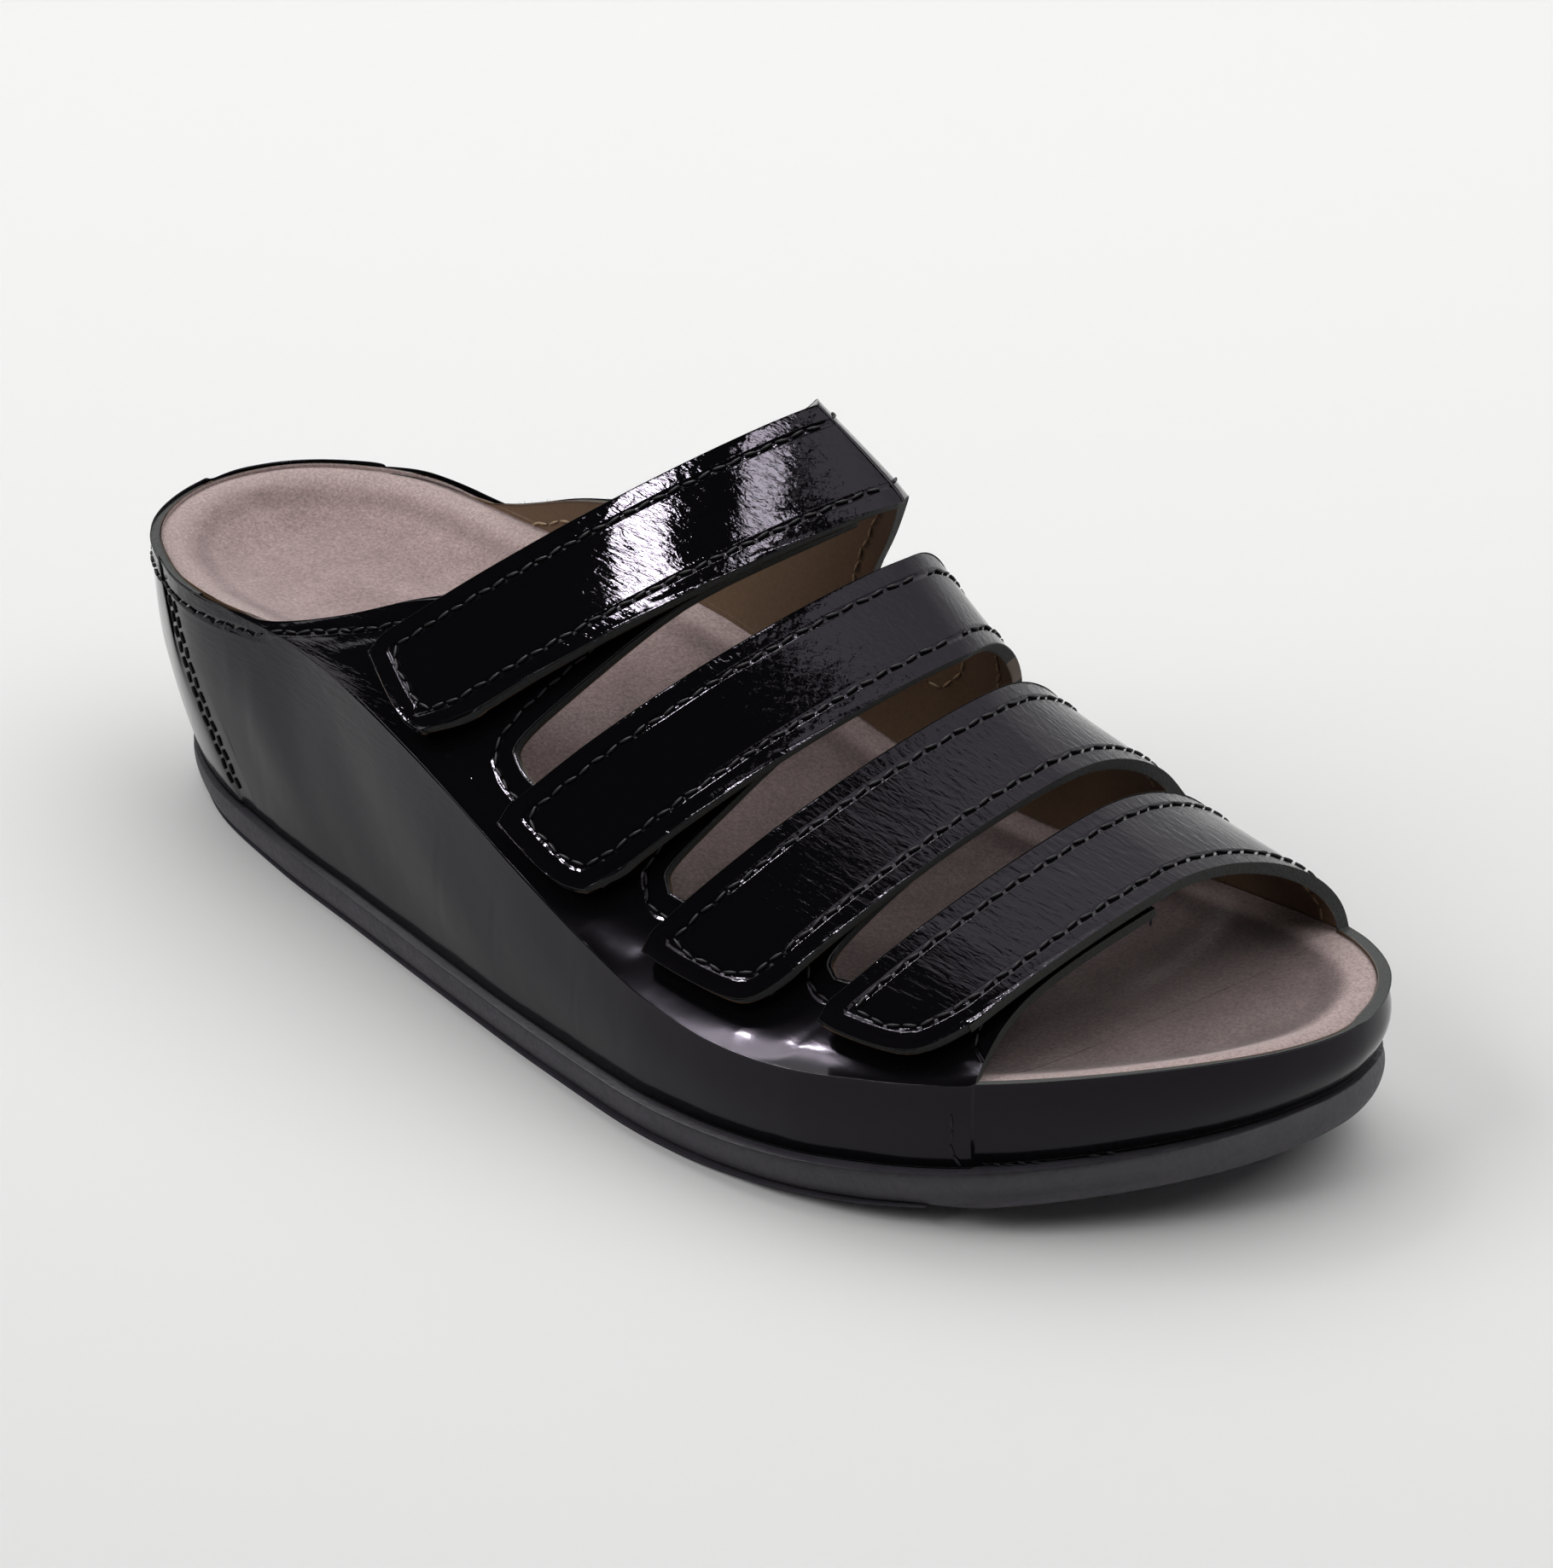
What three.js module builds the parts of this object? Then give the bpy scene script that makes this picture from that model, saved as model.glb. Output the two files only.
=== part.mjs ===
// Orthopedic slide for the right foot: a wedge footbed on a rubber outsole, inside a leather
// upper whose four straps fasten on the lateral side with hook and loop tape.
// Millimetres. +X runs to the toe, +Y to the medial side, +Z up, and the sole stands on z = 0.

import * as THREE from 'three';
import { mergeVertices } from 'three/addons/utils/BufferGeometryUtils.js';

// Sizes of the sole and the wedge
const soleLength = 256.8;
const ballWidth = 98.2;
const soleThickness = 7.4;
const soleBulge = 0.5;
const soleTuck = 1.4;
const heelLift = 1.8;
const toeSpring = 11.5;
const toeWallHeight = 16;
const heelBedHeight = 49.9;
const archRise = 5.3;
const heelCupDepth = 5.5;
const bedHollow = 1.8;

// Sizes of the upper
const upperWall = 2;
const wrapWall = 1.4;
const wallInset = 1;
const wallBulge = 0.8;
const heelBulge = 1.4;
const toeBulge = 1;
const heelFlare = 5.4;
const toeFlare = 1.4;
const toeSag = 3.6;
const bedLip = 1;
const endLip = 0.2;
const instepRise = 65;
const medialBulge = 6;
const toeStripDrop = 0.7;
const heelStripRise = 0.3;
const strapCornerRadius = 6.5;
const slotEndRadius = 6;

// Sizes of the hook and loop tapes
const tapeThickness = 0.6;
const tapeInset = 2.2;
const tapeStart = 3.5;

// Clearance between pieces that meet
const gap = 0.3;

// How far the tabs lie below the outside of the straps that fasten over them
const strapStack = upperWall + 2 * tapeThickness + 3 * gap;

// Places along the sole, as shares of its length
const heelRollEnd = 0.1;
const toeRiseStart = 0.59;
const wedgeStart = 0.226;
const wedgeEnd = 0.737;
const flareEnd = 0.24;
const flareFull = 0.08;
const toeFlareStart = 0.8;
const toeSagStart = 0.84;
const lipStart = 0.05;
const lipEnd = 0.87;
const archPlace = 0.434;
const archReach = 0.117;
const cupEnd = 0.42;

// Angles round the last, in degrees: 0 at the lateral bed edge, 90 at the crest, 180 medial
const crestAngle = 90;
const tabEndAngle = 76;
const tapeEndAngle = 68;
const sinkAngle = 20;
const leadEndAngle = 54;

// Exponents of the section curves: above 1 the section is flatter than an ellipse
const medialCurve = 1.1;

// Sole outline, as shares of its length and of the ball width
const heelBack = { along: 0, across: -0.005 };
const toeTip = { along: 0.997, across: 0.165 };
const outlineRows = [
  { along: 0.02, lateral: -0.153, medial: 0.137 },
  { along: 0.08, lateral: -0.259, medial: 0.244 },
  { along: 0.18, lateral: -0.334, medial: 0.299 },
  { along: 0.28, lateral: -0.382, medial: 0.316 },
  { along: 0.4, lateral: -0.439, medial: 0.323 },
  { along: 0.52, lateral: -0.49, medial: 0.354 },
  { along: 0.64, lateral: -0.52, medial: 0.431 },
  { along: 0.75, lateral: -0.487, medial: 0.478 },
  { along: 0.85, lateral: -0.375, medial: 0.458 },
  { along: 0.93, lateral: -0.194, medial: 0.404 },
  { along: 0.98, lateral: -0.008, medial: 0.308 },
];

// Sections of the last, from the heel to the toe. lateral and medial are the places of the
// section's feet along the sole. crestAlong, crestAcross and crestRise are its crest, as shares
// of sole length, ball width and instep rise. ramp flattens its lateral half, and bulge is the
// share of medialBulge that rounds its medial half. slant moves the foot of its wall along the sole.
// lead is how far the tab's edge lies ahead of the strap's, as a share of the way to the next
// section, up to the angle hold, and tabLead is the same at the tab's end. quarterTop and
// medialTop are the angles that the two quarters reach, and next says what comes after it.
const sections = [
  { name: 'heel back', lateral: 0, medial: 0, crestAlong: 0.27, crestAcross: 0.23,
    crestRise: 1.2, ramp: 1.65, bulge: 1, slant: 0, lead: 0, tabLead: 0, hold: 0,
    quarterTop: 0, medialTop: 0, next: 'heel' },
  { name: 'heel seam', lateral: 0.064, medial: 0.07, crestAlong: 0.32, crestAcross: 0.24,
    crestRise: 1.16, ramp: 1.65, bulge: 1, slant: 0.07, lead: 0, tabLead: 0, hold: 0,
    quarterTop: 0, medialTop: 0, next: 'side' },
  { name: 'collar start', lateral: 0.12, medial: 0.165, crestAlong: 0.37, crestAcross: 0.24,
    crestRise: 1.13, ramp: 1.65, bulge: 1, slant: 0.04, lead: 0, tabLead: 0, hold: 0,
    quarterTop: 0, medialTop: 0, next: 'side' },
  { name: 'collar', lateral: 0.185, medial: 0.27, crestAlong: 0.437, crestAcross: 0.243,
    crestRise: 1.07, ramp: 1.65, bulge: 1, slant: 0.01, lead: 0, tabLead: 0, hold: 0,
    quarterTop: 6, medialTop: 11, next: 'side' },
  { name: 'strap 1 rear', lateral: 0.272, medial: 0.38, crestAlong: 0.51, crestAcross: 0.252,
    crestRise: 1.01, ramp: 1.62, bulge: 1, slant: 0, lead: 0, tabLead: 0, hold: 0,
    quarterTop: 33, medialTop: 30, next: 'strap' },
  { name: 'strap 1 front', lateral: 0.372, medial: 0.489, crestAlong: 0.584, crestAcross: 0.259,
    crestRise: 0.903, ramp: 1.5, bulge: 1, slant: 0, lead: 0.34, tabLead: -0.05, hold: 22,
    quarterTop: 25, medialTop: 30, next: 'slot' },
  { name: 'strap 2 rear', lateral: 0.454, medial: 0.572, crestAlong: 0.604, crestAcross: 0.208,
    crestRise: 0.814, ramp: 1.45, bulge: 0.85, slant: 0, lead: 0.12, tabLead: 0, hold: 22,
    quarterTop: 25, medialTop: 30, next: 'strap' },
  { name: 'strap 2 front', lateral: 0.542, medial: 0.623, crestAlong: 0.668, crestAcross: 0.186,
    crestRise: 0.68, ramp: 1.45, bulge: 0.67, slant: 0, lead: 0.16, tabLead: -0.12, hold: 30,
    quarterTop: 31, medialTop: 30, next: 'slot' },
  { name: 'strap 3 rear', lateral: 0.594, medial: 0.674, crestAlong: 0.69, crestAcross: 0.165,
    crestRise: 0.614, ramp: 1.45, bulge: 0.58, slant: 0, lead: 0.02, tabLead: 0, hold: 30,
    quarterTop: 31, medialTop: 30, next: 'strap' },
  { name: 'strap 3 front', lateral: 0.688, medial: 0.773, crestAlong: 0.766, crestAcross: 0.148,
    crestRise: 0.486, ramp: 1.45, bulge: 0.42, slant: 0, lead: 0, tabLead: -0.14, hold: 36,
    quarterTop: 37, medialTop: 32, next: 'slot' },
  { name: 'strap 4 rear', lateral: 0.726, medial: 0.805, crestAlong: 0.794, crestAcross: 0.144,
    crestRise: 0.42, ramp: 1.45, bulge: 0.33, slant: 0, lead: 0, tabLead: 0, hold: 36,
    quarterTop: 37, medialTop: 32, next: 'strap' },
  { name: 'strap 4 front', lateral: 0.816, medial: 0.914, crestAlong: 0.87, crestAcross: 0.122,
    crestRise: 0.312, ramp: 1.45, bulge: 0.25, slant: 0, lead: 0.33, tabLead: -0.02, hold: 0,
    quarterTop: 36, medialTop: 32, next: 'side' },
  { name: 'toe shoulder', lateral: 0.93, medial: 0.965, crestAlong: 0.95, crestAcross: 0.12,
    crestRise: 0.2, ramp: 1.45, bulge: 0.17, slant: 0, lead: 0, tabLead: 0, hold: 0,
    quarterTop: 0, medialTop: 0, next: 'toe' },
  { name: 'toe tip', lateral: 1, medial: 1, crestAlong: 1, crestAcross: 0.12,
    crestRise: 0.1, ramp: 1.45, bulge: 0.17, slant: 0, lead: 0, tabLead: 0, hold: 0,
    quarterTop: 0, medialTop: 0, next: 'end' },
];

// Angles at which the straps' free ends stop, at their rear and front edges
const freeEnds = [
  { rear: 16, front: 8 },
  { rear: 10, front: 12 },
  { rear: 14, front: 19 },
  { rear: 22.5, front: 18.5 },
];

// Cross-section of the outsole's side, as shares of its thickness, bulge and tuck
const soleProfile = [
  { height: 0, bulge: 0, tuck: 1 },
  { height: 0.13, bulge: 0.1, tuck: 0.3 },
  { height: 0.5, bulge: 1, tuck: 0 },
  { height: 0.85, bulge: 0.8, tuck: 0 },
  { height: 1, bulge: 0, tuck: 0.15 },
];

// Steps between the sections, and round the wall, as shares of each stretch
const stretchSteps = {
  heel: [0, 0.14, 0.28, 0.43, 0.57, 0.71, 0.86],
  side: [0, 0.25, 0.5, 0.75],
  strap: [0, 0.08, 0.3, 0.7, 0.92],
  slot: [0, 0.15, 0.5, 0.85],
  toe: [0, 0.2, 0.4, 0.6, 0.8],
};
const wallSteps = [0, 0.33, 0.67, 1];
const quarterSteps = [0.33, 0.67, 1];
const tabSteps = [0.25, 0.5, 0.75, 1];
const strapSteps = [0, 0.05, 0.16, 0.3, 0.45, 0.6, 0.75, 0.88, 1];
const medialSteps = [0.2, 0.4, 0.6, 0.8, 1];
const bedSteps = [0, 0.07, 0.17, 0.32, 0.5, 0.68, 0.83, 0.93, 1];
const tapeSteps = [0, 0.25, 0.5, 0.75, 1];

const { clamp, degToRad, lerp } = THREE.MathUtils;

function smooth(share) {
  const t = clamp(share, 0, 1);
  return t * t * (3 - 2 * t);
}

// Sole outline as a closed curve: heel back, lateral side, toe tip, medial side
const outlinePlaces = [
  heelBack,
  ...outlineRows.map((row) => ({ along: row.along, across: row.lateral })),
  toeTip,
  ...outlineRows.map((row) => ({ along: row.along, across: row.medial })).reverse(),
];
const outlinePoints = outlinePlaces.map(
  (place) => new THREE.Vector3(place.along * soleLength, place.across * ballWidth, 0),
);
const outline = new THREE.CatmullRomCurve3(outlinePoints, true, 'centripetal');
const toeShare = (outlineRows.length + 1) / outlinePoints.length;

// Share of the closed curve for a place on one side, 0 at the heel back and 1 at the toe tip
function curveShare(side, place) {
  const share = side === 'lateral' ? place * toeShare : 1 - place * (1 - toeShare);
  return THREE.MathUtils.euclideanModulo(share, 1);
}

function outlineAt(side, place) {
  const share = curveShare(side, place);
  const point = outline.getPoint(share);
  const tangent = outline.getTangent(share);
  return { point, outward: new THREE.Vector3(-tangent.y, tangent.x, 0).negate() };
}

// Place on one side whose distance along the sole is the given share of its length
function placeOf(side, along) {
  if (along <= 0) return 0;
  if (along >= 1) return 1;
  let low = 0;
  let high = 1;
  for (let turn = 0; turn < 40; turn += 1) {
    const middle = (low + high) / 2;
    if (outlineAt(side, middle).point.x < along * soleLength) low = middle;
    else high = middle;
  }
  return (low + high) / 2;
}

// Height of the sole's underside: rolled up at the heel and sprung at the toe
function groundHeight(x) {
  const along = x / soleLength;
  const roll = Math.max(0, (heelRollEnd - along) / heelRollEnd);
  const spring = Math.max(0, (along - toeRiseStart) / (1 - toeRiseStart));
  return heelLift * roll ** 2 + toeSpring * spring ** 2;
}

function soleTopHeight(x) {
  return groundHeight(x) + soleThickness;
}

// Height of the footbed's edge: level at the heel, down the wedge, then along the toe, where
// it rises less than the sole does
function bedEdgeHeight(x, side) {
  const along = x / soleLength;
  const onHeel = smooth((wedgeEnd - along) / (wedgeEnd - wedgeStart));
  const sag = toeSag * Math.max(0, (along - toeSagStart) / (1 - toeSagStart)) ** 5;
  const toeBed = soleTopHeight(x) + toeWallHeight - bedLip - sag;
  const arch = archRise * Math.exp(-(((along - archPlace) / archReach) ** 2));
  return lerp(toeBed, heelBedHeight, onHeel) + (side === 'medial' ? arch : 0);
}

// How far the leather's rim stands above the footbed's edge: most along the lateral side
function lipAt(side, along) {
  const onSide = smooth(along / lipStart) * smooth((1 - along) / (1 - lipEnd));
  return side === 'lateral' ? lerp(endLip, bedLip, onSide) : endLip;
}

// Point on the outside of the wall that wraps the wedge. level is 0 at the outsole and 1 at
// the footbed's edge, and rimLevel is the rim above it.
const rimLevel = 2;
function wallPoint(side, place, level) {
  const { point, outward } = outlineAt(side, place);
  const along = point.x / soleLength;
  const atHeel = smooth((flareEnd - along) / (flareEnd - flareFull));
  const atToe = smooth((along - toeFlareStart) / (1 - toeFlareStart));
  const flare = heelFlare * atHeel + toeFlare * atToe;
  const bulge = wallBulge + heelBulge * atHeel + toeBulge * atToe;
  const onWall = Math.min(level, 1);
  const out = bulge * Math.sin(Math.PI * onWall) + flare * onWall ** 1.3 - wallInset;
  const foot = soleTopHeight(point.x) + gap;
  const rise = level === rimLevel ? lipAt(side, along) : 0;
  const height = lerp(foot, bedEdgeHeight(point.x, side), onWall) + rise;
  return new THREE.Vector3(point.x, point.y, height).addScaledVector(outward, out);
}

// Values of the section table between its rows, on a smooth curve through them
function rowValue(station, key) {
  const index = clamp(Math.floor(station), 0, sections.length - 2);
  const t = station - index;
  const read = (row) => places[clamp(row, 0, sections.length - 1)][key];
  const before = read(index - 1);
  const start = read(index);
  const end = read(index + 1);
  const after = read(index + 2);
  const leave = (end - before) / 2;
  const arrive = (after - start) / 2;
  return (
    start * (2 * t ** 3 - 3 * t ** 2 + 1) + leave * (t ** 3 - 2 * t ** 2 + t) +
    end * (3 * t ** 2 - 2 * t ** 3) + arrive * (t ** 3 - t ** 2)
  );
}

// The section table with each foot as a place round the outline
const places = sections.map((row) => ({
  ...row,
  lateral: placeOf('lateral', row.lateral),
  medial: placeOf('medial', row.medial),
  lateralFoot: placeOf('lateral', row.lateral + row.slant) - placeOf('lateral', row.lateral),
  medialFoot: placeOf('medial', row.medial + row.slant) - placeOf('medial', row.medial),
}));

function footPlace(side, station, level) {
  const slant = rowValue(station, `${side}Foot`) * (1 - clamp(level, 0, 1));
  return rowValue(station, side) + slant;
}

// Point on the last above the footbed, at a station along it and an angle round it
function lastPoint(station, angle) {
  const side = angle <= crestAngle ? 'lateral' : 'medial';
  const fromFoot = degToRad(side === 'lateral' ? angle : 2 * crestAngle - angle);
  const foot = wallPoint(side, rowValue(station, side), rimLevel);
  const crest = new THREE.Vector3(
    rowValue(station, 'crestAlong') * soleLength,
    rowValue(station, 'crestAcross') * ballWidth,
    0,
  );
  crest.z = bedEdgeHeight(crest.x) + rowValue(station, 'crestRise') * instepRise;
  const curve = side === 'lateral' ? rowValue(station, 'ramp') : medialCurve;
  const inward = 1 - Math.max(0, Math.cos(fromFoot)) ** curve;
  const upward = Math.sin(fromFoot) ** curve;
  const round = side === 'medial' ? Math.sin(2 * fromFoot) : 0;
  const bulge = medialBulge * rowValue(station, 'bulge') * round;
  return new THREE.Vector3(
    lerp(foot.x, crest.x, (inward + upward) / 2),
    lerp(foot.y, crest.y, inward) + bulge,
    lerp(foot.z, crest.z, upward),
  );
}

// One lattice point of the upper: on the wall by its level, or on the last by its angle
function surfacePoint(spot) {
  const { side, station, level, angle } = spot;
  if (angle !== undefined) return lastPoint(station, angle);
  return wallPoint(side, footPlace(side, station, level), level);
}

// Outward normal at a lattice point, from its neighbours on the same surface
function surfaceNormal(spot) {
  const alongStep = 0.04;
  const roundStep = spot.angle === undefined ? 0.04 : 1;
  const key = spot.angle === undefined ? 'level' : 'angle';
  const last = sections.length - 1;
  const moved = (changes) => surfacePoint({ ...spot, ...changes });
  const back = Math.max(0, spot.station - alongStep);
  const ahead = Math.min(last, spot.station + alongStep);
  const along = moved({ station: ahead }).sub(moved({ station: back }));
  const value = spot[key];
  const lowest = key === 'angle' ? 0.5 : 0;
  const highest = key === 'angle' ? 2 * crestAngle - 0.5 : 1;
  const below = Math.max(lowest, Math.min(value, highest) - roundStep);
  const above = Math.min(highest, Math.max(value, lowest) + roundStep);
  const round = moved({ [key]: above }).sub(moved({ [key]: below }));
  if (spot.station === 0 || spot.station === last) along.set(0, 1, 0);
  const normal = along.cross(round).normalize();
  const point = surfacePoint(spot);
  const core = new THREE.Vector3(
    clamp(point.x, 0.15 * soleLength, 0.85 * soleLength),
    0,
    heelBedHeight / 2,
  );
  return normal.dot(point.clone().sub(core)) < 0 ? normal.negate() : normal;
}

// Degrees round the last that a length in millimetres takes up
function degreesFor(length, station, angle) {
  const perDegree = lastPoint(station, angle + 1).distanceTo(lastPoint(station, angle));
  return length / perDegree;
}

// How far the quarter lies below the last's outline, where straps will cover it
function sinkAt(angle) {
  return angle > crestAngle ? 0 : strapStack * smooth(angle / sinkAngle);
}

// How far a strap's end stands proud of the outline, so that it clears the quarter
function proudAt(angle) {
  return angle > crestAngle ? 0 : strapStack * (1 - smooth(angle / sinkAngle));
}

// How far a tab's edge lies ahead of its section at an angle round the last
function rowLead(row, angle) {
  const fade = smooth((angle - row.hold) / (leadEndAngle - row.hold));
  return lerp(row.lead, row.tabLead, fade);
}

// A rounded edge: how far it has turned at a distance from its start
function roundOff(distance, radius) {
  const left = Math.max(0, radius - distance);
  return radius - Math.sqrt(Math.max(0, radius ** 2 - left ** 2));
}

// Columns of the upper's lattice, from the heel back to the toe tip
const panelStep = 0.02;
const columns = [];
sections.forEach((row, index) => {
  if (row.next === 'end') return;
  stretchSteps[row.next].forEach((share) => {
    columns.push({ station: index + share, stretch: row.next, share, row: index });
  });
  if (row.name === 'heel seam' || row.name === 'strap 4 front') {
    const seam = columns.findIndex((column) => column.row === index);
    const before = { ...columns[seam], stretch: sections[index - 1].next, share: 1 };
    before.row = index - 1;
    columns.splice(seam, 0, before);
    columns[seam + 1].station += panelStep;
  }
});
columns.push({ station: sections.length - 1, stretch: 'end', share: 0, row: sections.length - 1 });

const rowNamed = (name) => sections.findIndex((row) => row.name === name);
const heelSeamRow = rowNamed('heel seam');
const collarRow = rowNamed('collar start');
const strapFrontRow = rowNamed('strap 4 front');

// Distance across one stretch on one side, measured where the quarter ends
function stretchWidth(side, index) {
  const key = side === 'lateral' ? 'quarterTop' : 'medialTop';
  const angleOf = (row) => (side === 'lateral' ? sections[row][key] : 180 - sections[row][key]);
  const lead = (row) => (side === 'lateral' ? sections[row].lead : 0);
  const start = lastPoint(index + lead(index), angleOf(index));
  return start.distanceTo(lastPoint(index + 1 + lead(index + 1), angleOf(index + 1)));
}

// Angle above its foot that a quarter reaches in a column, with the slots' round ends let in
function quarterTopOf(side, column) {
  const key = side === 'lateral' ? 'quarterTop' : 'medialTop';
  const top = lerp(
    sections[column.row][key],
    sections[Math.min(column.row + 1, sections.length - 1)][key],
    smooth(column.share) * 0.35 + column.share * 0.65,
  );
  if (column.stretch !== 'slot') return top;
  const width = stretchWidth(side, column.row);
  const radius = Math.min(slotEndRadius, width / 2);
  const distance = Math.min(column.share, 1 - column.share) * width;
  const drop = radius - roundOff(distance, radius);
  const angle = side === 'lateral' ? top : 2 * crestAngle - top;
  return top - degreesFor(drop, column.station, angle);
}

// The same for a column, between the two sections that it stands between
function leadOf(column, angle = 0) {
  const next = sections[Math.min(column.row + 1, sections.length - 1)];
  return lerp(rowLead(sections[column.row], angle), rowLead(next, angle), column.share);
}

// Angle at which a strap's free end stops in a column, with its corners rounded
function freeEndOf(column) {
  const strap = freeEnds[Math.floor((column.row - rowNamed('strap 1 rear')) / 2)];
  const end = lerp(strap.rear, strap.front, column.share);
  const rear = lastPoint(column.row, end);
  const width = rear.distanceTo(lastPoint(column.row + 1, end));
  const fromRear = roundOff(column.share * width, strapCornerRadius / 2);
  const fromFront = roundOff((1 - column.share) * width, strapCornerRadius);
  return end + degreesFor(fromRear + fromFront, column.station, end);
}

// Lift of the outside over a panel: the heel strip is laid on, the toe strip lies under
function panelLift(column) {
  if (column.row < heelSeamRow) return heelStripRise;
  return column.row >= strapFrontRow ? -toeStripDrop : 0;
}

// Inside of the leather that wraps the wedge, which has no lining
function insideOf(column) {
  return Math.min(panelLift(column), 0) - wrapWall;
}

// The lattice's rows in one column, from the lateral foot over the crest to the medial foot.
// Each spot has the two distances, outside and inside, of the upper from the last.
function columnSpots(column) {
  const { station } = column;
  const lift = panelLift(column);
  const wallInside = insideOf(column);
  const onStrap = column.stretch === 'strap' || (column.stretch !== 'end' && column.share === 0
    && sections[Math.max(column.row - 1, 0)].next === 'strap');
  const lateralTop = quarterTopOf('lateral', column);
  const medialTop = quarterTopOf('medial', column);
  const levels = [...wallSteps, rimLevel];
  const spots = [];
  levels.forEach((level) => {
    const spot = { side: 'lateral', station: station + leadOf(column), level };
    spots.push({ ...spot, outside: lift, inside: wallInside, part: 'wall' });
  });
  const quarterAngles = quarterSteps.map((share) => share * lateralTop);
  const tabAngles = tabSteps.map((share) => lerp(lateralTop, tabEndAngle, share));
  [...quarterAngles, ...tabAngles].forEach((angle) => {
    const sink = sinkAt(angle);
    const spot = { side: 'lateral', station: station + leadOf(column, angle), angle };
    spots.push({ ...spot, outside: -sink, inside: -sink - upperWall, part: 'quarter' });
  });
  const freeEnd = onStrap ? freeEndOf(strapColumn(column)) : 0;
  const strapAngles = strapSteps.map((share) => lerp(freeEnd, crestAngle, share));
  const medialAngles = medialSteps.map((share) => lerp(crestAngle, 180 - medialTop, share));
  const footAngles = quarterSteps.map((share) => 180 - lerp(medialTop, 0, share));
  [...strapAngles, ...medialAngles, ...footAngles].forEach((angle) => {
    const proud = proudAt(angle);
    const spot = { side: angle > crestAngle ? 'medial' : 'lateral', station, angle };
    spots.push({ ...spot, outside: proud, inside: proud - upperWall, part: 'strap' });
  });
  wallSteps.slice().reverse().forEach((level) => {
    const spot = { side: 'medial', station, level };
    spots.push({ ...spot, outside: lift, inside: wallInside, part: 'wall' });
  });
  return spots;
}

// A column that starts a slot also ends the strap before it
function strapColumn(column) {
  if (column.stretch === 'strap') return column;
  return { ...column, row: column.row - 1, share: 1 };
}

// Rows at which the lattice's zones begin
const lipRow = wallSteps.length;
const quarterRow = lipRow + quarterSteps.length;
const tabRow = quarterRow + tabSteps.length;
const freeRow = tabRow + 1;
const medialRow = freeRow + strapSteps.length - 1 + medialSteps.length;
const medialLipRow = medialRow + quarterSteps.length;

// Says whether the upper has leather between two columns and two rows of the lattice
function isLeather(column, row) {
  const inStrap = column.stretch === 'strap';
  const beforeToe = column.row < strapFrontRow;
  if (row < lipRow || row >= medialLipRow) return true;
  if (row < quarterRow) return beforeToe && column.row >= collarRow;
  if (row < tabRow) return inStrap;
  if (row < freeRow) return false;
  if (row < medialRow) return inStrap;
  return beforeToe && column.row >= collarRow;
}

// Turns a list of triangles, each three points, into one closed geometry facing outwards
function closedGeometry(triangles) {
  const area = (triangle) => {
    const [a, b, c] = triangle;
    return b.clone().sub(a).cross(c.clone().sub(a)).length();
  };
  const solid = triangles.filter((triangle) => area(triangle) > 1e-5);
  const volume = solid.reduce((sum, [a, b, c]) => sum + a.dot(b.clone().cross(c)), 0);
  const corners = solid.flatMap(([a, b, c]) => (volume > 0 ? [a, b, c] : [a, c, b]));
  const geometry = new THREE.BufferGeometry().setFromPoints(corners);
  const merged = mergeVertices(geometry, 1e-4);
  merged.computeVertexNormals();
  return merged;
}

// Builds a shell from an outside and an inside lattice, with walls along its open edges
function shellGeometry(outside, inside, isSolid, isJoined) {
  const triangles = [];
  const addQuad = (a, b, c, d) => {
    triangles.push([a, b, c], [a, c, d]);
  };
  const solidAt = (i, j) => (
    i >= 0 && j >= 0 && i < outside.length - 1 && j < outside[0].length - 1 && isSolid(i, j)
  );
  for (let i = 0; i < outside.length - 1; i += 1) {
    for (let j = 0; j < outside[0].length - 1; j += 1) {
      if (!solidAt(i, j)) continue;
      const out = outside;
      const inn = inside;
      addQuad(out[i][j], out[i + 1][j], out[i + 1][j + 1], out[i][j + 1]);
      addQuad(inn[i][j], inn[i][j + 1], inn[i + 1][j + 1], inn[i + 1][j]);
      if (!solidAt(i, j - 1)) addQuad(out[i][j], inn[i][j], inn[i + 1][j], out[i + 1][j]);
      if (!solidAt(i, j + 1)) {
        addQuad(out[i + 1][j + 1], inn[i + 1][j + 1], inn[i][j + 1], out[i][j + 1]);
      }
      if (!solidAt(i - 1, j) && !isJoined(i, j)) {
        addQuad(out[i][j + 1], inn[i][j + 1], inn[i][j], out[i][j]);
      }
      if (!solidAt(i + 1, j) && !isJoined(i + 1, j)) {
        addQuad(out[i + 1][j], inn[i + 1][j], inn[i + 1][j + 1], out[i + 1][j + 1]);
      }
    }
  }
  return closedGeometry(triangles);
}

function offsetPoint(spot, distance) {
  return surfacePoint(spot).addScaledVector(surfaceNormal(spot), distance);
}

// At the heel back and the toe tip the two walls are the same points
function joinEnds(lattice) {
  [0, lattice.length - 1].forEach((i) => {
    const last = lattice[i].length - 1;
    for (let j = 0; j <= lipRow; j += 1) lattice[i][last - j] = lattice[i][j].clone();
  });
  return lattice;
}

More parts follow.
